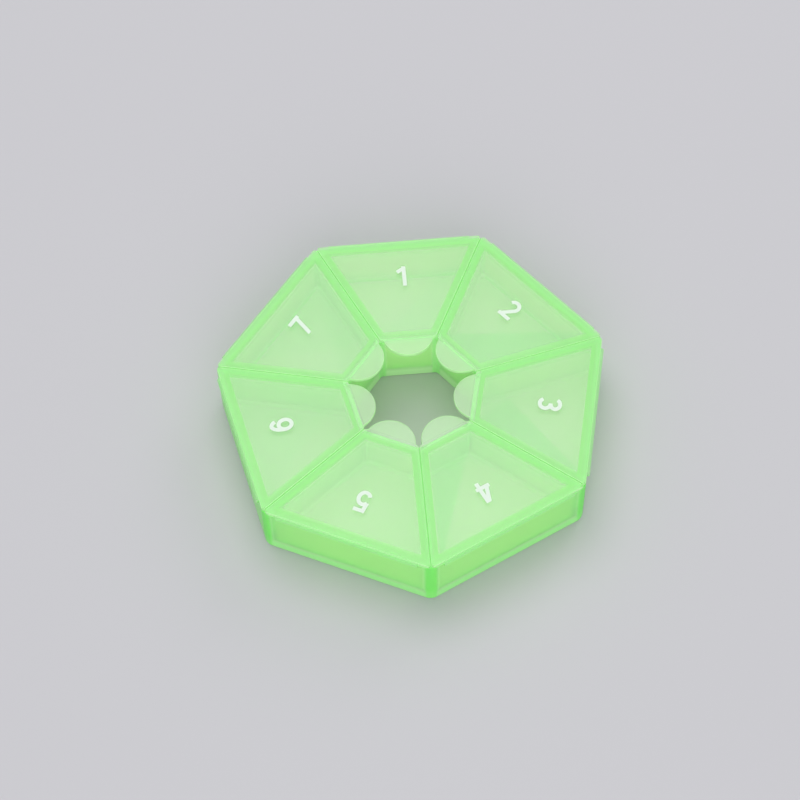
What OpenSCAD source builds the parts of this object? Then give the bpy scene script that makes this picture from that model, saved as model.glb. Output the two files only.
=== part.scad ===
// Weekly pill box: a heptagonal ring of seven compartments round an open middle.
// Each compartment has a lid on a living hinge along its outer side. The ring lies on z = 0,
// its axis is Z, and the first lid points along +Y. The others follow clockwise from above.

/* [Ring] */
// Distance from the axis to each flat outer side of the tray
ring_apothem = 45; // [40:0.5:60]
// Distance from the axis to each flat side of the middle opening
hole_apothem = 14.8; // [13:0.1:18]
// Height of the tray from the table to its rim
tray_h = 16; // [10:0.5:30]
// Rounding of the tray's upright outer corners
tray_corner_r = 3; // [1.5:0.1:4]
// Rounding of the tray's upright corners in the middle opening
hole_corner_r = 1; // [0.5:0.1:2]
// Rounding of the tray's lowest outer edge
base_edge_r = 0.4; // [0.2:0.1:1]

/* [Compartments] */
// Thickness of the outer and inner walls
wall_t = 1.1; // [0.9:0.05:1.6]
// Thickness of the dividers between compartments
divider_t = 1.4; // [1:0.1:2.4]
// Thickness of the floor
floor_t = 1.2; // [1.1:0.1:2]
// Rounding of the upright corners inside a compartment
pocket_corner_r = 1.2; // [0.8:0.1:1.6]

/* [Lids] */
// Thickness of a lid's plate
lid_t = 1; // [0.9:0.05:1.4]
// Distance from a lid's side to the line half-way to its neighbour
lid_gap = 0.15; // [0.1:0.05:0.3]
// Rounding of the corners of a lid's plate
lid_corner_r = 0.7; // [0.4:0.1:1.2]
// Radius of the round lifting tab
tab_r = 6.55; // [5:0.05:6.6]
// How far the tab reaches over the middle opening
tab_reach = 4.7; // [2:0.1:5]
// Depth of the plug rim below the plate
plug_h = 1.8; // [1:0.1:2]
// Thickness of the plug rim
plug_t = 1; // [0.7:0.05:1.4]
// Gap between the plug rim and the compartment's walls
plug_clearance = 0.35; // [0.35:0.05:0.6]
// Rounding of the plug rim's outer corners
plug_corner_r = 1.2; // [1.2:0.1:1.6]

/* [Living hinges] */
// Length of a web along its side of the ring
web_w = 36.5; // [20:0.5:36.5]
// Thickness of a web
web_t = 0.35; // [0.25:0.05:0.4]
// Radius of the folded web, at the middle of its thickness
web_fold_r = 0.5; // [0.45:0.01:0.65]

/* [Numerals] */
// Height of a printed numeral
numeral_h = 6; // [4:0.1:8]
// Width of a printed numeral
numeral_w = 3.7; // [2.8:0.1:5]
// Width of a numeral's strokes
stroke_w = 1; // [0.7:0.05:1.1]
// Distance from the ring's flat outer side to the middle of a numeral
numeral_inset = 11; // [9:0.1:14]
// Thickness of the ink
ink_t = 0.06; // [0.04:0.01:0.15]

/* [Hidden] */
days = 7;
$fn = 64;
// Turn between the points of a round corner, and steps in the round base edge
corner_step = 7;
edge_steps = 4;

// The ring's geometry
turn = 360 / days;
half_turn = turn / 2;
// Cuts run past the faces that they open by this much
overrun = wall_t;

// The compartment's mouth, the lid's seat and the plug rim that goes into the mouth
pocket_y = [hole_apothem + wall_t, ring_apothem - wall_t];
plug_y = [pocket_y[0] + plug_clearance, pocket_y[1] - plug_clearance];
plug_inset = divider_t / 2 + plug_clearance;
tab_y = hole_apothem - tab_reach + tab_r;
top_z = tray_h + lid_t;

// A numeral's strokes are placed from its lower left corner
ink_half = stroke_w / 2;
ink_rx = numeral_w / 2 - ink_half;
ink_mid_x = numeral_w / 2;
ink_top = numeral_h - ink_half;
arc_step = 9;

// Shares of a numeral's width or height at which its strokes stand
one_stem_share = 0.64;
one_flag_shares = [0.16, 0.72, 0.9];
three_waist_share = 0.53;
four_stem_share = 0.72;
four_peak_share = 0.65;
four_foot_share = 0.16;
four_bar_share = 0.29;
five_back_share = 0.14;
five_top_share = 0.93;
five_lean_share = 0.07;
five_bowl_share = 0.64;
six_bowl_share = 0.62;
six_hook_share = 0.56;
seven_peak_share = 0.8;
seven_foot_share = 0.34;

// Turns at which curved strokes start or stop, and the turn between points along them
open_high = 158;
open_low = -155;
two_neck = -38;
waist_turn = 97;
five_start = 143;
six_end = 42;

// Half the width, at distance y from the axis, of a slice whose sides stand inset
// from the lines through the ring's corners
function slice_half_w(y, inset) = y * tan(half_turn) - inset / cos(half_turn);

// The four corners of a slice between two distances from the axis, anticlockwise
function slice_outline(y, inset) = [
    [-slice_half_w(y[0], inset), y[0]],
    [slice_half_w(y[0], inset), y[0]],
    [slice_half_w(y[1], inset), y[1]],
    [-slice_half_w(y[1], inset), y[1]]
];

// The corners of a regular outline round the axis, with a flat side towards +Y
function ring_outline(apothem) = [
    for (i = [0:days - 1])
        apothem / cos(half_turn) * [sin(half_turn - i * turn), cos(half_turn - i * turn)]
];

function unit(v) = v / norm(v);

// The points of a round of radius r at corner i of a convex outline
function corner_arc(pts, i, r) = let (
    n = len(pts),
    u = unit(pts[(i + n - 1) % n] - pts[i]),
    v = unit(pts[(i + 1) % n] - pts[i]),
    half = acos(u * v) / 2,
    mid = pts[i] + unit(u + v) * r / sin(half),
    from = atan2(-u[0], u[1]) + 180,
    steps = ceil((180 - 2 * half) / corner_step)
) [
    for (k = [0:steps])
        let (a = from + (180 - 2 * half) * k / steps)
        mid + r * [cos(a), sin(a)]
];

// A convex outline, drawn anticlockwise, with round corners of radius r
function rounded(pts, r) = [
    for (i = [0:len(pts) - 1])
        each corner_arc(pts, i, r)
];

// Turns what is drawn towards +Y to the place of compartment i
module at_day(i) {
    rotate([0, 0, -(i - 1) * turn]) children();
}

// The tray's outer shape, a stack of outlines that draw in towards the round base edge
module tray_block() {
    levels = concat(
        [
            for (k = [0:edge_steps])
                let (a = 90 * k / edge_steps)
                base_edge_r * [1 - sin(a), 1 - cos(a)]
        ],
        [[0, tray_h]]
    );
    rings = [
        for (l = levels)
            [
                for (p = rounded(ring_outline(ring_apothem - l[0]), tray_corner_r - l[0]))
                    [p[0], p[1], l[1]]
            ]
    ];
    n = len(rings[0]);
    last = len(levels) - 1;
    polyhedron(
        points = [for (ring = rings) each ring],
        faces = concat(
            [[for (k = [0:n - 1]) k]],
            [
                for (l = [0:last - 1], k = [0:n - 1])
                    let (next = (k + 1) % n)
                    [l * n + k, (l + 1) * n + k, (l + 1) * n + next, l * n + next]
            ],
            [[for (k = [n - 1:-1:0]) last * n + k]]
        )
    );
}

module tray() {
    color("#9be67f")
    difference() {
        tray_block();
        translate([0, 0, -overrun])
            linear_extrude(tray_h + 2 * overrun)
                polygon(rounded(ring_outline(hole_apothem), hole_corner_r));
        for (i = [1:days])
            at_day(i)
                translate([0, 0, floor_t])
                    linear_extrude(tray_h)
                        polygon(rounded(slice_outline(pocket_y, divider_t / 2), pocket_corner_r));
    }
}

// The rim below the plate that presses into the compartment's mouth
module plug_rim() {
    inner_y = [plug_y[0] + plug_t, plug_y[1] - plug_t];
    difference() {
        polygon(rounded(slice_outline(plug_y, plug_inset), plug_corner_r));
        polygon(slice_outline(inner_y, plug_inset + plug_t));
    }
}

module lid(i) {
    color("#bdf0a4")
    at_day(i) {
        translate([0, 0, tray_h])
            linear_extrude(lid_t) {
                polygon(rounded(slice_outline([hole_apothem, ring_apothem], lid_gap), lid_corner_r));
                translate([0, tab_y]) circle(tab_r);
            }
        translate([0, 0, tray_h - plug_h])
            linear_extrude(plug_h + lid_t / 2) plug_rim();
    }
}

// The web folded shut, with one end on the wall just below the rim and the other on the
// lid's outer edge
module hinge(i) {
    reach = web_fold_r + web_t / 2;
    color("#8df59a")
    at_day(i)
        translate([-web_w / 2, ring_apothem, tray_h])
            rotate([90, 0, 90])
                linear_extrude(web_w)
                    intersection() {
                        difference() {
                            circle(reach);
                            circle(reach - web_t);
                        }
                        translate([0, -reach]) square([reach, 2 * reach]);
                    }
}

// Points along an arc with the given middle, radii and turns
function arc(mid, radii, from, to) = let (steps = ceil(abs(to - from) / arc_step)) [
    for (k = [0:steps])
        let (a = from + (to - from) * k / steps)
        mid + [radii[0] * cos(a), radii[1] * sin(a)]
];

// The way to the left of a line at point k, long enough to keep the line's width at a bend
function bend_side(pts, k) = let (
    n = len(pts),
    u = k == 0 ? unit(pts[1] - pts[0]) : unit(pts[k] - pts[k - 1]),
    v = k == n - 1 ? unit(pts[n - 1] - pts[n - 2]) : unit(pts[k + 1] - pts[k]),
    m = unit(u + v)
) [-m[1], m[0]] / (m * u);

// A printed line of stroke_w along points, with square ends
module stroke(pts) {
    n = len(pts);
    polygon(concat(
        [for (k = [0:n - 1]) pts[k] - bend_side(pts, k) * ink_half],
        [for (k = [n - 1:-1:0]) pts[k] + bend_side(pts, k) * ink_half]
    ));
}

// A straight stroke between two heights, with level ends
module leg(high, low) {
    half = ink_half * norm(high - low) / abs(high[1] - low[1]);
    polygon([
        [high[0] - half, high[1]],
        [low[0] - half, low[1]],
        [low[0] + half, low[1]],
        [high[0] + half, high[1]]
    ]);
}

// A closed curved stroke
module loop(mid, radii) {
    difference() {
        polygon(arc(mid, radii + [ink_half, ink_half], arc_step, 360));
        polygon(arc(mid, radii - [ink_half, ink_half], arc_step, 360));
    }
}

module numeral_one() {
    x = numeral_w * one_stem_share;
    leg([x, numeral_h], [x, 0]);
    stroke([
        [numeral_w * one_flag_shares[0], numeral_h * one_flag_shares[1]],
        [x, numeral_h * one_flag_shares[2]]
    ]);
}

module numeral_two() {
    crown = [ink_mid_x, ink_top - ink_rx];
    neck = crown + ink_rx * [cos(two_neck), sin(two_neck)];
    fall = neck[1] - ink_half;
    stroke(concat(
        arc(crown, [ink_rx, ink_rx], open_high, two_neck),
        [[neck[0] + fall * tan(two_neck), ink_half]]
    ));
    stroke([[0, ink_half], [numeral_w, ink_half]]);
}

module numeral_three() {
    waist = numeral_h * three_waist_share;
    upper = (ink_top - waist) / 2;
    lower = (waist - ink_half) / 2;
    stroke(arc([ink_mid_x, waist + upper], [ink_rx, upper], open_high, -waist_turn));
    stroke(arc([ink_mid_x, ink_half + lower], [ink_rx, lower], waist_turn, open_low));
}

module numeral_four() {
    x = numeral_w * four_stem_share;
    bar_y = numeral_h * four_bar_share;
    leg([x, numeral_h], [x, 0]);
    stroke([[0, bar_y], [numeral_w, bar_y]]);
    leg(
        [numeral_w * four_peak_share, numeral_h],
        [numeral_w * four_foot_share, bar_y - ink_half]
    );
}

module numeral_five() {
    back = numeral_w * five_back_share;
    bowl = (numeral_h * five_bowl_share - ink_half) / 2;
    mid_y = ink_half + bowl;
    start_y = mid_y + bowl * sin(five_start);
    stroke([[back, ink_top], [numeral_w * five_top_share, ink_top]]);
    leg([back + ink_half, ink_top], [back + ink_half - numeral_w * five_lean_share, start_y]);
    stroke(arc([ink_mid_x, mid_y], [ink_rx, bowl], five_start, open_low));
}

module numeral_six() {
    bowl = (numeral_h * six_bowl_share - ink_half) / 2;
    mid_y = ink_half + bowl;
    hook_rx = numeral_w * six_hook_share - ink_half;
    loop([ink_mid_x, mid_y], [ink_rx, bowl]);
    stroke(arc([ink_half + hook_rx, mid_y], [hook_rx, ink_top - mid_y], 180, six_end));
}

module numeral_seven() {
    stroke([[0, ink_top], [numeral_w, ink_top]]);
    leg([numeral_w * seven_peak_share, ink_top], [numeral_w * seven_foot_share, 0]);
}

module numeral(i) {
    color("white")
    at_day(i)
        translate([-numeral_w / 2, ring_apothem - numeral_inset - numeral_h / 2, top_z])
            linear_extrude(ink_t) {
                if (i == 1) numeral_one();
                if (i == 2) numeral_two();
                if (i == 3) numeral_three();
                if (i == 4) numeral_four();
                if (i == 5) numeral_five();
                if (i == 6) numeral_six();
                if (i == 7) numeral_seven();
            }
}

tray();
for (i = [1:days]) {
    lid(i);
    hinge(i);
    numeral(i);
}
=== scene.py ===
# A seven-day pill box: a heptagonal ring of wedge-shaped compartments round an open middle,
# moulded in one shot from milky light-green polypropylene. Each compartment has a thin flip
# lid on a living hinge along its outer side, a round tab over the middle and a white numeral.
import math

import bmesh
import bpy
from mathutils import Matrix, Vector


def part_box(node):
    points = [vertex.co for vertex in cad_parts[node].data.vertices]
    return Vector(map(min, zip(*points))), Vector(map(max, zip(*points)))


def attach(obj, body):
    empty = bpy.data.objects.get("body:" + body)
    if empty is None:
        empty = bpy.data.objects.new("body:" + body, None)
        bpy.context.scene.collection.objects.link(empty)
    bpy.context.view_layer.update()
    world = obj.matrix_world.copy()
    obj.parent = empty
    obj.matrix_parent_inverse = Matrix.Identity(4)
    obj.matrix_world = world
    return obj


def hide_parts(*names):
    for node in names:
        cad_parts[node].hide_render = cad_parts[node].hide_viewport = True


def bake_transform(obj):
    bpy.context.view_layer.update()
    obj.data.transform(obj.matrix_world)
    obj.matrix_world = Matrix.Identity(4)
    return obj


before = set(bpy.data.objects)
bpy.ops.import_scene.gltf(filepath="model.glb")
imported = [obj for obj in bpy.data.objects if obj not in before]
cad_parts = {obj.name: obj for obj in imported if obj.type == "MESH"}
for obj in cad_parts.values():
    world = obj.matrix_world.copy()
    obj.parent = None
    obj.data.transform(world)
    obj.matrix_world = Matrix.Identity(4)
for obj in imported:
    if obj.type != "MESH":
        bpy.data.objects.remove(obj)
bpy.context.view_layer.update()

# The camera stands in front of the box and looks down at it from about 58 degrees, with a
# long lens, at the place that the seven equal sides of the ring give.
CAMERA_PLACE = (-0.01815, -0.27546, 0.46425)
CAMERA_RIGHT = (0.99652276, -0.08152598, -0.01720207)
CAMERA_UP = (0.07854309, 0.85023253, 0.52051478)
CAMERA_BACK = (-0.02780972, -0.52005593, 0.85367936)
LENS = 95.35
SENSOR = 36

camera_data = bpy.data.cameras.new("camera")
camera_data.lens = LENS
camera_data.sensor_width = SENSOR
camera = bpy.data.objects.new("camera", camera_data)
turned = Matrix((CAMERA_RIGHT, CAMERA_UP, CAMERA_BACK)).transposed()
camera.matrix_world = Matrix.Translation(CAMERA_PLACE) @ turned.to_4x4()
bpy.context.scene.collection.objects.link(camera)
bpy.context.scene.camera = camera
bpy.context.scene.view_settings.view_transform = "Standard"

# Light crosses many thin milky walls here, so it is followed through more of them than usual.
WALLS_CROSSED = 32
TIMES_SCATTERED = 24

light_path = bpy.context.scene.cycles
light_path.transparent_max_bounces = WALLS_CROSSED
light_path.diffuse_bounces = TIMES_SCATTERED
light_path.max_bounces = TIMES_SCATTERED

# The table is a plain cool-grey sheet, just clear of the box's underside. The light is that of
# a white tent: an even world and three broad soft lamps, one overhead, one behind on the right
# and one in front.
FLOOR_SIZE = 3.0
UNDER_BOX = 0.0001
FLOOR_GREY = (0.55, 0.54, 0.562, 1)
FLOOR_ROUGHNESS = 0.7
WORLD_WHITE = (0.95, 0.97, 1.0, 1)
WORLD_LEVEL = 0.555
# each lamp's place, width and power
LAMPS = {
    "overhead": ((-0.1, 0.36, 0.9), 0.8, 3.45),
    "behind": ((0.6, 0.7, 0.6), 0.6, 1.55),
    "front": ((0.0, -0.9, 0.5), 1.0, 5.1),
}


def deselect():
    bpy.ops.object.select_all(action="DESELECT")


deselect()
bpy.ops.mesh.primitive_plane_add(size=FLOOR_SIZE, location=(0, 0, -UNDER_BOX))
floor = bpy.context.object
floor.name = "floor"
floor_material = bpy.data.materials.new("floor")
floor_material.use_nodes = True
floor_shader = floor_material.node_tree.nodes["Principled BSDF"]
floor_shader.inputs["Base Color"].default_value = FLOOR_GREY
floor_shader.inputs["Roughness"].default_value = FLOOR_ROUGHNESS
floor.data.materials.append(floor_material)

world = bpy.data.worlds.new("tent")
world.use_nodes = True
world.node_tree.nodes["Background"].inputs["Color"].default_value = WORLD_WHITE
world.node_tree.nodes["Background"].inputs["Strength"].default_value = WORLD_LEVEL
bpy.context.scene.world = world
for name, (place, size, power) in LAMPS.items():
    lamp_data = bpy.data.lights.new(name, "AREA")
    lamp_data.shape = "DISK"
    lamp_data.size = size
    lamp_data.energy = power
    lamp = bpy.data.objects.new(name, lamp_data)
    lamp.location = place
    lamp.rotation_euler = (-Vector(place)).to_track_quat("-Z", "Y").to_euler()
    bpy.context.scene.collection.objects.link(lamp)

# The tray is the box's body: floor, outer walls, inner walls round the middle opening and
# seven dividers, in one moulding. Its walls stand upright, its outer corners and base edge
# are round, and the compartments have soft corners where the mould was polished.
DAYS = 7
TURN = 2 * math.pi / DAYS
HALF_TURN = TURN / 2
tray_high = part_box("tray")[1]
TRAY_H = tray_high.z
TRAY_APOTHEM = tray_high.y
HOLE_APOTHEM = 0.0148
WALL = 0.0011
DIVIDER = 0.0014
TRAY_FLOOR = 0.0012
TRAY_CORNER = 0.003
HOLE_CORNER = 0.001
BASE_EDGE = 0.0004
POCKET_CORNER = 0.0012
POCKET_FOOT = 0.0006
RIM_EDGE = 0.00022
POCKET_NEAR = HOLE_APOTHEM + WALL
POCKET_FAR = TRAY_APOTHEM - WALL
CUT_PAST = 0.002
CORNER_STEPS = 10
HOLE_STEPS = 6
POCKET_STEPS = 6
BASE_STEPS = 4
FOOT_STEPS = 4
UPRIGHT = 0.99


def edges_where(piece, test):
    """Selects the edges in edit mode whose middle and way pass the test."""
    mesh = bmesh.from_edit_mesh(piece.data)
    for part in (*mesh.verts, *mesh.faces):
        part.select = False
    for edge in mesh.edges:
        a, b = (v.co for v in edge.verts)
        edge.select = test((a + b) / 2, (b - a).normalized())
    bmesh.update_edit_mesh(piece.data)


def bevel_where(piece, test, radius, turn, segments):
    """Rounds the chosen edges of a solid to a radius, where its faces turn by that angle."""
    deselect()
    piece.select_set(True)
    bpy.context.view_layer.objects.active = piece
    bpy.ops.object.mode_set(mode="EDIT")
    bpy.ops.mesh.select_mode(type="EDGE")
    edges_where(piece, test)
    bpy.ops.mesh.bevel(
        offset=radius * math.tan(turn / 2), offset_type="OFFSET", segments=segments, affect="EDGES"
    )
    bpy.ops.object.mode_set(mode="OBJECT")


def upright(middle, way):
    return abs(way.z) > UPRIGHT


def ring_block(name, apothem, low, high):
    """A heptagonal block round the ring's axis, with a flat side towards +Y."""
    deselect()
    bpy.ops.mesh.primitive_cylinder_add(
        vertices=DAYS,
        radius=apothem / math.cos(HALF_TURN),
        depth=high - low,
        location=(0, 0, (low + high) / 2),
        rotation=(0, 0, HALF_TURN),
    )
    block = bpy.context.object
    block.name = name
    bpy.ops.object.transform_apply(location=True, rotation=True, scale=True)
    return block


def wedge_half_width(y, inset):
    return y * math.tan(HALF_TURN) - inset / math.cos(HALF_TURN)


def wedge(name, near, far, inset, low, high):
    """A wedge-shaped block between two distances from the axis, its sides inset from the
    lines through the ring's corners. It is a cube, narrowed at its inner end."""
    far_w = wedge_half_width(far, inset)
    deselect()
    bpy.ops.mesh.primitive_cube_add(
        size=1,
        location=(0, (near + far) / 2, (low + high) / 2),
        scale=(2 * far_w, far - near, high - low),
    )
    block = bpy.context.object
    block.name = name
    bpy.ops.object.transform_apply(location=True, rotation=True, scale=True)
    bpy.ops.object.mode_set(mode="EDIT")
    mesh = bmesh.from_edit_mesh(block.data)
    for part in (*mesh.verts, *mesh.edges, *mesh.faces):
        part.select = False
    for vert in mesh.verts:
        vert.select = vert.co.y < (near + far) / 2
    mesh.select_flush(True)
    bmesh.update_edit_mesh(block.data)
    bpy.ops.transform.resize(
        value=(wedge_half_width(near, inset) / far_w, 1, 1), center_override=(0, 0, 0)
    )
    bpy.ops.object.mode_set(mode="OBJECT")
    return block


def round_wedge(block, near, far, radius, segments=POCKET_STEPS):
    """Rounds the four upright corners of a wedge: two sharp outer ones, two blunt inner ones."""
    middle = (near + far) / 2
    blunt, sharp = math.pi / 2 - HALF_TURN, math.pi / 2 + HALF_TURN
    bevel_where(block, lambda m, w: upright(m, w) and m.y > middle, radius, sharp, segments)
    bevel_where(block, lambda m, w: upright(m, w) and m.y < middle, radius, blunt, segments)


def apply_modifier(piece, kind, **settings):
    deselect()
    piece.select_set(True)
    bpy.context.view_layer.objects.active = piece
    modifier = piece.modifiers.new(kind.lower(), kind)
    for key, value in settings.items():
        setattr(modifier, key, value)
    bpy.ops.object.modifier_apply(modifier=modifier.name)


def combine(piece, tool, operation):
    apply_modifier(piece, "BOOLEAN", operation=operation, object=tool, solver="EXACT")
    bpy.data.objects.remove(tool, do_unlink=True)


def turned_copy(piece, name, day):
    """A copy of a piece made for the first day, turned in its mesh to another day."""
    copy = piece.copy()
    copy.data = piece.data.copy()
    copy.name = name
    bpy.context.scene.collection.objects.link(copy)
    copy.data.transform(Matrix.Rotation(-(day - 1) * TURN, 4, "Z"))
    return copy


def merge_doubles(piece, nearer_than):
    """Merges corners that lie together, and turns all faces outwards."""
    deselect()
    piece.select_set(True)
    bpy.context.view_layer.objects.active = piece
    bpy.ops.object.mode_set(mode="EDIT")
    bpy.ops.mesh.select_all(action="SELECT")
    bpy.ops.mesh.remove_doubles(threshold=nearer_than)
    bpy.ops.mesh.normals_make_consistent(inside=False)
    bpy.ops.object.mode_set(mode="OBJECT")


FLAT = math.radians(0.5)
SHARP = math.radians(30)
SMOOTH = math.radians(40)
CUT_TRACES = 0.00004
DOUBLES = 0.000001
EDGE_STEPS = 3
MANY_SIDED = 5


def soften(piece, width, segments=EDGE_STEPS, nearer_than=CUT_TRACES):
    """Breaks the sharp edges of a moulding, and shades it so that its flat faces stay flat."""
    merge_doubles(piece, nearer_than)
    bpy.ops.object.mode_set(mode="EDIT")
    bpy.ops.mesh.dissolve_limited(angle_limit=FLAT)
    bpy.ops.object.mode_set(mode="OBJECT")
    apply_modifier(
        piece,
        "BEVEL",
        width=width,
        segments=segments,
        limit_method="ANGLE",
        angle_limit=SHARP,
        use_clamp_overlap=False,
    )
    merge_doubles(piece, DOUBLES)
    apply_modifier(piece, "TRIANGULATE", min_vertices=MANY_SIDED)
    bpy.ops.object.shade_smooth_by_angle(angle=SMOOTH)
    apply_modifier(piece, "WEIGHTED_NORMAL", keep_sharp=True)


def feed(tree, value, socket):
    """Gives a socket a number, or links it to another node's output."""
    if isinstance(value, bpy.types.NodeSocket):
        tree.links.new(value, socket)
    else:
        socket.default_value = value


CLOUD_SCALE = 45
CLOUD_DETAIL = 4
CLOUD_RED = 0.9
CLOUD_BLUE = 0.88
GRAIN_SCALE = 900
GRAIN_DETAIL = 3
GRAIN_STRENGTH = 0.006
GRAIN_DEPTH = 0.0002
PLASTIC_IOR = 1.49
SHINE_STEEPNESS = 5
SHINE_FACING = 0.04
SHINE_GRAZING = 0.35
SLANT_BLEND = 0.3


def plastic(name, pale, deep, where, milk, slant_milk, masked_milk, soaked, density, roughness):
    """Milky green polypropylene. Most light goes through, and the green of the depth that it
    crosses stays in it. The milky filler scatters the rest back and forward, more so at a
    slant. Where the moulding is deep, scattered light comes out greener. The masks given by
    `where` also carry the painted glow, painted highlight and painted light of the tray and lids."""
    material = bpy.data.materials.new(name)
    material.use_nodes = True
    tree = material.node_tree
    nodes, links = tree.nodes, tree.links
    shader = nodes["Principled BSDF"]
    output = nodes["Material Output"]
    shader.inputs["Roughness"].default_value = roughness
    shader.inputs["IOR"].default_value = PLASTIC_IOR

    place = nodes.new("ShaderNodeTexCoord")
    cloud = nodes.new("ShaderNodeTexNoise")
    cloud.inputs["Scale"].default_value = CLOUD_SCALE
    cloud.inputs["Detail"].default_value = CLOUD_DETAIL
    links.new(place.outputs["Object"], cloud.inputs["Vector"])
    pale_shade = nodes.new("ShaderNodeMix")
    pale_shade.data_type = "RGBA"
    red, green, blue = pale
    pale_shade.inputs["A"].default_value = (red * CLOUD_RED, green, blue * CLOUD_BLUE, 1)
    pale_shade.inputs["B"].default_value = (*pale, 1)
    links.new(cloud.outputs["Fac"], pale_shade.inputs["Factor"])
    shade = nodes.new("ShaderNodeMix")
    shade.data_type = "RGBA"
    shade.inputs["B"].default_value = (*deep, 1)
    links.new(pale_shade.outputs["Result"], shade.inputs["A"])
    green_mask, milk_mask, forward_share = where(tree, place)
    links.new(green_mask, shade.inputs["Factor"])
    links.new(shade.outputs["Result"], shader.inputs["Base Color"])

    fine = nodes.new("ShaderNodeTexNoise")
    fine.inputs["Scale"].default_value = GRAIN_SCALE
    fine.inputs["Detail"].default_value = GRAIN_DETAIL
    links.new(place.outputs["Object"], fine.inputs["Vector"])
    bump = nodes.new("ShaderNodeBump")
    bump.inputs["Strength"].default_value = GRAIN_STRENGTH
    bump.inputs["Distance"].default_value = GRAIN_DEPTH
    links.new(fine.outputs["Fac"], bump.inputs["Height"])
    links.new(bump.outputs["Normal"], shader.inputs["Normal"])

    forward = nodes.new("ShaderNodeBsdfTranslucent")
    links.new(shade.outputs["Result"], forward.inputs["Color"])
    milky = nodes.new("ShaderNodeMixShader")
    feed(tree, forward_share, milky.inputs["Fac"])
    links.new(shader.outputs["BSDF"], milky.inputs[1])
    links.new(forward.outputs["BSDF"], milky.inputs[2])

    clear = nodes.new("ShaderNodeBsdfTransparent")
    gloss = nodes.new("ShaderNodeBsdfGlossy")
    gloss.inputs["Roughness"].default_value = roughness
    gloss.inputs["Color"].default_value = (1, 1, 1, 1)
    links.new(bump.outputs["Normal"], gloss.inputs["Normal"])
    facing = nodes.new("ShaderNodeLayerWeight")
    steep = nodes.new("ShaderNodeMath")
    steep.operation = "POWER"
    steep.inputs[1].default_value = SHINE_STEEPNESS
    links.new(facing.outputs["Facing"], steep.inputs[0])
    shine = nodes.new("ShaderNodeMapRange")
    shine.inputs["To Min"].default_value = SHINE_FACING
    shine.inputs["To Max"].default_value = SHINE_GRAZING
    links.new(steep.outputs["Value"], shine.inputs["Value"])
    window = nodes.new("ShaderNodeMixShader")
    links.new(shine.outputs["Result"], window.inputs["Fac"])
    links.new(clear.outputs["BSDF"], window.inputs[1])
    links.new(gloss.outputs["BSDF"], window.inputs[2])

    slant = nodes.new("ShaderNodeLayerWeight")
    slant.inputs["Blend"].default_value = SLANT_BLEND
    amount = nodes.new("ShaderNodeMapRange")
    amount.inputs["To Min"].default_value = milk
    amount.inputs["To Max"].default_value = slant_milk
    links.new(slant.outputs["Facing"], amount.inputs["Value"])
    cover = nodes.new("ShaderNodeMix")
    cover.inputs["B"].default_value = masked_milk
    links.new(milk_mask, cover.inputs["Factor"])
    links.new(amount.outputs["Result"], cover.inputs["A"])
    whole = nodes.new("ShaderNodeMixShader")
    links.new(cover.outputs["Result"], whole.inputs["Fac"])
    links.new(window.outputs["Shader"], whole.inputs[1])
    links.new(milky.outputs["Shader"], whole.inputs[2])
    links.new(whole.outputs["Shader"], output.inputs["Surface"])

    soak = nodes.new("ShaderNodeVolumeAbsorption")
    soak.inputs["Color"].default_value = (*soaked, 1)
    soak.inputs["Density"].default_value = density
    links.new(soak.outputs["Volume"], output.inputs["Volume"])
    return material


def ramp(tree, value, start, end):
    """0 before start and 1 after end, with a soft change between them."""
    soft = tree.nodes.new("ShaderNodeMapRange")
    soft.interpolation_type = "SMOOTHSTEP"
    soft.inputs["From Min"].default_value = start
    soft.inputs["From Max"].default_value = end
    tree.links.new(value, soft.inputs["Value"])
    return soft.outputs["Result"]


def sums(tree, operation, first, second):
    """One sum on two values, each of them a number or a node's output."""
    node = tree.nodes.new("ShaderNodeMath")
    node.operation = operation
    feed(tree, first, node.inputs[0])
    feed(tree, second, node.inputs[1])
    return node.outputs["Value"]


def times(tree, first, second):
    return sums(tree, "MULTIPLY", first, second)


def minus(tree, first, second):
    return sums(tree, "SUBTRACT", first, second)


def ring_parts(tree, place):
    """The place of a point on the ring, with every seventh measured as the first one is: its
    reach from the axis, its way along the middle of its seventh, its distance from the line
    through the nearest corner, and its height."""
    parts = tree.nodes.new("ShaderNodeSeparateXYZ")
    tree.links.new(place.outputs["Object"], parts.inputs["Vector"])
    x, y, z = parts.outputs["X"], parts.outputs["Y"], parts.outputs["Z"]
    squares = sums(tree, "ADD", times(tree, x, x), times(tree, y, y))
    reach = sums(tree, "SQRT", squares, 0)
    turn = sums(tree, "ADD", sums(tree, "ARCTAN2", x, y), HALF_TURN)
    turn = minus(tree, sums(tree, "FLOORED_MODULO", turn, TURN), HALF_TURN)
    along = times(tree, reach, sums(tree, "COSINE", turn, 0))
    past = minus(tree, HALF_TURN, sums(tree, "ABSOLUTE", turn, 0))
    aside = times(tree, reach, sums(tree, "SINE", past, 0))
    return reach, along, aside, z


def most(tree, first, *others):
    for other in others:
        first = sums(tree, "MAXIMUM", first, other)
    return first


def least(tree, first, *others):
    for other in others:
        first = sums(tree, "MINIMUM", first, other)
    return first


# Ranges of the painted glow: at the outer corners, at the dividers' ends and near the floor.
PAINTED_CORNER_GLOW = (0.0011, 0.00047)
PAINTED_END_GLOW = (0.0016, 0.0006)
PAINTED_FLOOR_GLOW = (0.0045, 0.002)
TRAY_FORWARD = 0.35
# Share of light that the painted glow near the floor throws back.
FLOOR_GLOW_BACKWARD = 0.2
INNER_BACKWARD = 0.3
# Greens of the painted glow at the dividers' ends and of the painted light on the rim, then the
# walls' own green, then the green of the painted glow at the foot of the outer walls.
END_GLOW_GREEN = 0.6
RIM_LIGHT_GREEN = 0.65
WALL_SHADE = 0.15
OUTER_SHADE = 0.32
FOOT_GLOW_GREEN = 0.75
WALL_BLUR = 0.0002
SLAB_BLUR = (0.0003, 0.0001)


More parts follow.
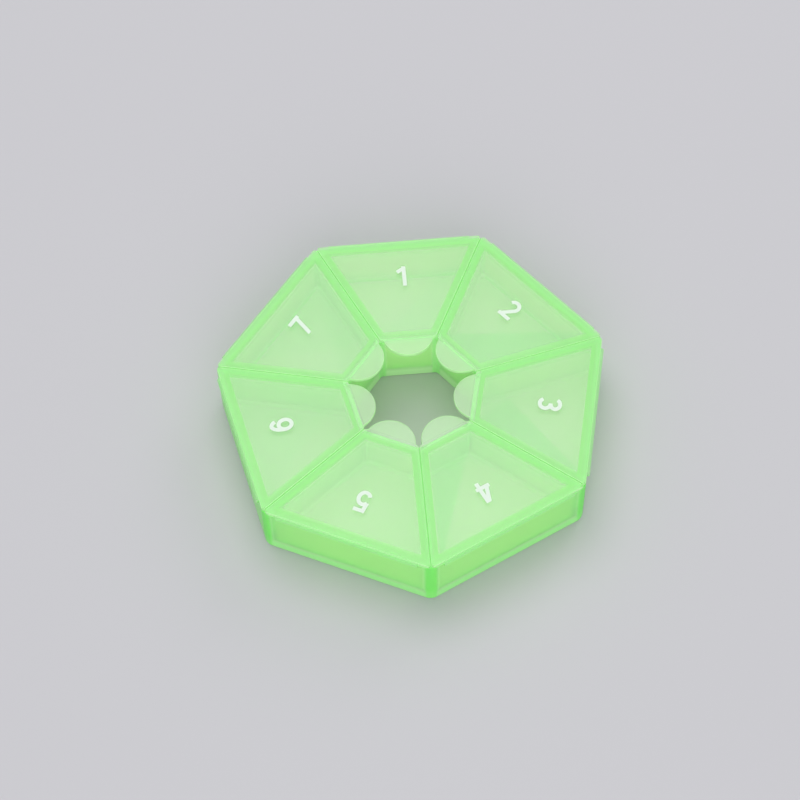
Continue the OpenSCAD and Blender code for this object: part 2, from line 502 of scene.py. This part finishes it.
def tray_tint_and_painted_glow(tree, place):
    """The tray is a little deeper green in all its walls, more so in its outer walls. Painted
    glow:
    its outer corners, where the plastic is also truly thicker, the dividers' ends at the opening
    and the foot of its outer walls are deeper green and milkier, standing in for light that the
    plastic pipes there, and everything near its floor is milkier and throws more light back.
    Painted light: its rim, which lies in shade in the seams between the lids, is deeper green and
    milkier. The inner walls below the rim throw back more of the light that the milk scatters,
    and pass on less of it."""
    reach, along, aside, z = ring_parts(tree, place)
    corner = TRAY_APOTHEM / math.cos(HALF_TURN)
    # Painted glow at the outer corners: deeper green and milkier, for light piped out there, over
    # plastic that is truly thicker.
    corner_glow_paint = ramp(tree, reach, corner - PAINTED_CORNER_GLOW[0], corner - PAINTED_CORNER_GLOW[1])
    inner = ramp(tree, along, POCKET_NEAR + WALL_BLUR, POCKET_NEAR)
    outer = ramp(tree, along, POCKET_FAR - WALL_BLUR, POCKET_FAR)
    # Painted glow at the dividers' ends by the opening.
    end_glow_paint = least(tree, inner, ramp(tree, aside, PAINTED_END_GLOW[0], PAINTED_END_GLOW[1]))
    # Painted glow near the floor: milkier low down, deeper green at the foot of the outer walls,
    # lifting the shade there.
    floor_glow_paint = ramp(tree, z, PAINTED_FLOOR_GLOW[0], PAINTED_FLOOR_GLOW[1])
    # Painted light on the rim top, which lies in shade in the seams between the lids.
    rim_light_paint = ramp(tree, z, TRAY_H - 2 * RIM_EDGE, TRAY_H - RIM_EDGE)
    in_slab = ramp(tree, z, TRAY_FLOOR + SLAB_BLUR[0], TRAY_FLOOR + SLAB_BLUR[1])
    in_slab = least(tree, in_slab, minus(tree, 1, outer), minus(tree, 1, inner))
    shade = most(
        tree,
        corner_glow_paint,
        times(tree, minus(tree, 1, in_slab), WALL_SHADE),
        times(tree, end_glow_paint, END_GLOW_GREEN),
        times(tree, outer, OUTER_SHADE),
        times(tree, times(tree, floor_glow_paint, outer), FOOT_GLOW_GREEN),
        times(tree, rim_light_paint, RIM_LIGHT_GREEN),
    )
    cover = most(tree, corner_glow_paint, end_glow_paint, rim_light_paint, floor_glow_paint)
    backward = most(
        tree,
        times(tree, floor_glow_paint, FLOOR_GLOW_BACKWARD),
        times(tree, least(tree, inner, minus(tree, 1, rim_light_paint)), INNER_BACKWARD),
    )
    return shade, cover, minus(tree, TRAY_FORWARD, backward)


tray_plastic = plastic(
    "tray_plastic",
    pale=(0.96, 1.0, 0.86),
    deep=(0.33, 1.0, 0.24),
    where=tray_tint_and_painted_glow,
    milk=0.3,
    slant_milk=0.85,
    masked_milk=0.9,
    soaked=(0.66, 1.0, 0.0),
    density=500,
    roughness=0.28,
)

tray = ring_block("tray_moulding", TRAY_APOTHEM, 0, TRAY_H)
bevel_where(tray, upright, TRAY_CORNER, TURN, CORNER_STEPS)
bevel_where(tray, lambda m, w: m.z < BASE_EDGE / 2, BASE_EDGE, math.pi / 2, BASE_STEPS)
hole = ring_block("hole", HOLE_APOTHEM, -CUT_PAST, TRAY_H + CUT_PAST)
bevel_where(hole, upright, HOLE_CORNER, TURN, HOLE_STEPS)
combine(tray, hole, "DIFFERENCE")
pocket = wedge("pocket", POCKET_NEAR, POCKET_FAR, DIVIDER / 2, TRAY_FLOOR, TRAY_H + CUT_PAST)
round_wedge(pocket, POCKET_NEAR, POCKET_FAR, POCKET_CORNER)
foot = TRAY_FLOOR + POCKET_FOOT / 2
bevel_where(pocket, lambda m, w: m.z < foot, POCKET_FOOT, math.pi / 2, FOOT_STEPS)
for day in range(1, DAYS + 1):
    combine(tray, turned_copy(pocket, "pocket_copy", day), "DIFFERENCE")
bpy.data.objects.remove(pocket, do_unlink=True)
soften(tray, RIM_EDGE)
tray.data.materials.append(tray_plastic)
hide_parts("tray")
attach(tray, "tray")

# A lid is a thin wedge-shaped plate with a round tab at its inner end. Below the plate a plug
# rim goes into the compartment's mouth and grips its walls. It is moulded with the tray, and
# all seven are alike.
LID_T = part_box("lid_1")[1].z - TRAY_H
LID_GAP = 0.0001
LID_CORNER = 0.0007
TAB_R = 0.00655
TAB_REACH = 0.0047
TAB_Y = HOLE_APOTHEM - TAB_REACH + TAB_R
PLUG_GAP = 0.00035
PLUG_T = 0.001
PLUG_H = 0.0018
PLUG_CORNER = 0.0012
PLUG_INNER_CORNER = 0.0004
PLUG_INNER_STEPS = 3
TAB_SIDES = 120
PLUG_NEAR = POCKET_NEAR + PLUG_GAP
PLUG_FAR = POCKET_FAR - PLUG_GAP
PLUG_INSET = DIVIDER / 2 + PLUG_GAP
LID_EDGE = 0.00018
RIM_BLUR = 0.00015
PAST_RIM = 0.15
RIM_MILK = 0.25
# Milk and green of the painted highlight along the lid's upper edges.
EDGE_HIGHLIGHT_MILK = 0.6
EDGE_HIGHLIGHT_GREEN = 0.9
# Milk and green of the painted light on the tab, which lies over the shaded middle.
TAB_PAINTED_LIGHT_MILK = 0.25
TAB_PAINTED_LIGHT_GREEN = 0.35
LID_FORWARD = 0.5
# Share of light that the painted highlight along the edges throws back.
EDGE_HIGHLIGHT_BACKWARD = 0.3


def lid_tint_and_painted_light(tree, place):
    """The lid is deep in colour over its plug rim and below its plate, and milkier there. Painted
    highlight: along its upper edges it is deep green, milkier and throws more light back, for the
    bright lines that light draws there. Painted light: its tab is a little greener and milkier, to
    read brighter over the shaded middle. Every lid is measured as the first one is, by its way
    round the ring."""
    reach, along, aside, z = ring_parts(tree, place)
    inside = least(
        tree,
        minus(tree, PLUG_FAR - PLUG_T, along),
        minus(tree, along, PLUG_NEAR + PLUG_T),
        minus(tree, aside, PLUG_INSET + PLUG_T),
    )
    on_rim = ramp(tree, inside, RIM_BLUR, -RIM_BLUR)
    past_rim = ramp(tree, inside, RIM_BLUR - PLUG_T, -RIM_BLUR - PLUG_T)
    on_rim = minus(tree, on_rim, times(tree, past_rim, PAST_RIM))
    not_tab = ramp(tree, along, PLUG_NEAR - 2 * RIM_BLUR, PLUG_NEAR)
    below = ramp(tree, z, TRAY_H - LID_EDGE, TRAY_H - PLUG_H / 2)
    depth = most(tree, times(tree, on_rim, not_tab), below)

    from_tab = minus(tree, along, TAB_Y)
    across = minus(tree, times(tree, reach, reach), times(tree, along, along))
    from_tab = sums(tree, "ADD", times(tree, from_tab, from_tab), across)
    in_tab = minus(tree, TAB_R, sums(tree, "SQRT", from_tab, 0))
    in_plate = least(
        tree,
        minus(tree, TRAY_APOTHEM, along),
        minus(tree, along, HOLE_APOTHEM),
        minus(tree, aside, LID_GAP),
    )
    # Painted highlight along the lid's upper edges.
    edge_highlight_paint = ramp(tree, most(tree, in_tab, in_plate), LID_EDGE * 1.5, LID_EDGE * 0.5)
    above = ramp(tree, z, TRAY_H + LID_T / 4, TRAY_H + LID_T / 2)
    edge_highlight_paint = times(tree, edge_highlight_paint, above)
    # Painted light on the tab: greener and milkier, to read brighter over the shaded middle.
    tab_light_paint = ramp(tree, along, HOLE_APOTHEM, HOLE_APOTHEM - 2 * RIM_BLUR)
    edge_highlight_tint, tab_light_tint = times(tree, edge_highlight_paint, EDGE_HIGHLIGHT_GREEN), times(tree, tab_light_paint, TAB_PAINTED_LIGHT_GREEN)
    cover = most(
        tree,
        times(tree, depth, RIM_MILK),
        times(tree, edge_highlight_paint, EDGE_HIGHLIGHT_MILK),
        times(tree, tab_light_paint, TAB_PAINTED_LIGHT_MILK),
    )
    forward = minus(tree, LID_FORWARD, times(tree, edge_highlight_paint, EDGE_HIGHLIGHT_BACKWARD))
    return most(tree, depth, edge_highlight_tint, tab_light_tint), cover, forward


lid_plastic = plastic(
    "lid_plastic",
    pale=(1.0, 1.0, 0.92),
    deep=(0.64, 1.0, 0.52),
    where=lid_tint_and_painted_light,
    milk=0.2,
    slant_milk=0.6,
    masked_milk=0.9,
    soaked=(0.5, 1.0, 0.5),
    density=85,
    roughness=0.25,
)

plate = wedge("lid", HOLE_APOTHEM, TRAY_APOTHEM, LID_GAP, TRAY_H, TRAY_H + LID_T)
round_wedge(plate, HOLE_APOTHEM, TRAY_APOTHEM, LID_CORNER)
deselect()
bpy.ops.mesh.primitive_cylinder_add(
    vertices=TAB_SIDES, radius=TAB_R, depth=LID_T, location=(0, TAB_Y, TRAY_H + LID_T / 2)
)
tab = bpy.context.object
bpy.ops.object.transform_apply(location=True, rotation=True, scale=True)
combine(plate, tab, "UNION")
plug = wedge("plug", PLUG_NEAR, PLUG_FAR, PLUG_INSET, TRAY_H - PLUG_H, TRAY_H + LID_T / 2)
round_wedge(plug, PLUG_NEAR, PLUG_FAR, PLUG_CORNER)
core = wedge(
    "core",
    PLUG_NEAR + PLUG_T,
    PLUG_FAR - PLUG_T,
    PLUG_INSET + PLUG_T,
    TRAY_H - PLUG_H - CUT_PAST,
    TRAY_H,
)
round_wedge(core, PLUG_NEAR, PLUG_FAR, PLUG_INNER_CORNER, PLUG_INNER_STEPS)
combine(plug, core, "DIFFERENCE")
combine(plate, plug, "UNION")
soften(plate, LID_EDGE)
plate.data.materials.append(lid_plastic)
for day in range(1, DAYS + 1):
    lid = turned_copy(plate, f"lid_moulding_{day}", day)
    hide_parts(f"lid_{day}")
    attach(lid, f"lid_{day}")
bpy.data.objects.remove(plate, do_unlink=True)

# A living hinge is a thin web of the same plastic, folded shut between the wall just below
# the rim and the lid's outer edge. Stretching has lined up the plastic and made it brighter.
web_low, web_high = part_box("hinge_1")
WEB_W = web_high.x - web_low.x
WEB_T = 0.00035
WEB_R = web_high.y - TRAY_APOTHEM - WEB_T / 2
WEB_EDGE = 0.0001
WEB_EDGE_STEPS = 2
WEB_SIDES = 48
WEB_TRACES = 0.00001


def at_the_fold(tree, place):
    """The web is palest where it is stretched most, above the middle of its fold."""
    parts = tree.nodes.new("ShaderNodeSeparateXYZ")
    tree.links.new(place.outputs["Object"], parts.inputs["Vector"])
    depth = ramp(tree, parts.outputs["Z"], TRAY_H, TRAY_H - WEB_R)
    return depth, depth, LID_FORWARD


web_plastic = plastic(
    "web_plastic",
    pale=(0.78, 1.0, 0.7),
    deep=(0.6, 1.0, 0.5),
    where=at_the_fold,
    milk=0.3,
    slant_milk=1.0,
    masked_milk=0.4,
    soaked=(0.3, 1.0, 0.2),
    density=300,
    roughness=0.25,
)

deselect()
bpy.ops.mesh.primitive_cylinder_add(
    vertices=WEB_SIDES,
    radius=WEB_R,
    depth=WEB_W,
    end_fill_type="NOTHING",
    location=(0, TRAY_APOTHEM, TRAY_H),
    rotation=(0, math.pi / 2, 0),
)
web = bpy.context.object
bpy.ops.object.transform_apply(location=True, rotation=True, scale=True)
bpy.ops.object.mode_set(mode="EDIT")
bpy.ops.mesh.select_all(action="SELECT")
bpy.ops.mesh.bisect(
    plane_co=(0, TRAY_APOTHEM, 0), plane_no=(0, 1, 0), clear_inner=True, use_fill=False
)
bpy.ops.object.mode_set(mode="OBJECT")
apply_modifier(web, "SOLIDIFY", thickness=WEB_T, offset=0)
soften(web, WEB_EDGE, WEB_EDGE_STEPS, WEB_TRACES)
web.data.materials.append(web_plastic)
for day in range(1, DAYS + 1):
    fold = turned_copy(web, f"hinge_web_{day}", day)
    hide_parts(f"hinge_{day}")
    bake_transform(fold)
bpy.data.objects.remove(web, do_unlink=True)

# The numerals are pad-printed on the lids in white ink, one to each lid, with their tops
# outwards. The ink is thin and slightly uneven.
INK_WORN = (0.67, 0.8, 0.66, 1)
INK_FULL = (0.76, 0.85, 0.75, 1)
INK_SCALE = 700
INK_ROUGHNESS = 0.45

ink = bpy.data.materials.new("white_ink")
ink.use_nodes = True
ink_nodes, ink_links = ink.node_tree.nodes, ink.node_tree.links
ink_shader = ink_nodes["Principled BSDF"]
ink_place = ink_nodes.new("ShaderNodeTexCoord")
ink_cloud = ink_nodes.new("ShaderNodeTexNoise")
ink_cloud.inputs["Scale"].default_value = INK_SCALE
ink_links.new(ink_place.outputs["Object"], ink_cloud.inputs["Vector"])
ink_shade = ink_nodes.new("ShaderNodeMix")
ink_shade.data_type = "RGBA"
ink_shade.inputs["A"].default_value = INK_WORN
ink_shade.inputs["B"].default_value = INK_FULL
ink_links.new(ink_cloud.outputs["Fac"], ink_shade.inputs["Factor"])
ink_links.new(ink_shade.outputs["Result"], ink_shader.inputs["Base Color"])
ink_shader.inputs["Roughness"].default_value = INK_ROUGHNESS
for day in range(1, DAYS + 1):
    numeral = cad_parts[f"numeral_{day}"]
    numeral.material_slots[0].material = ink
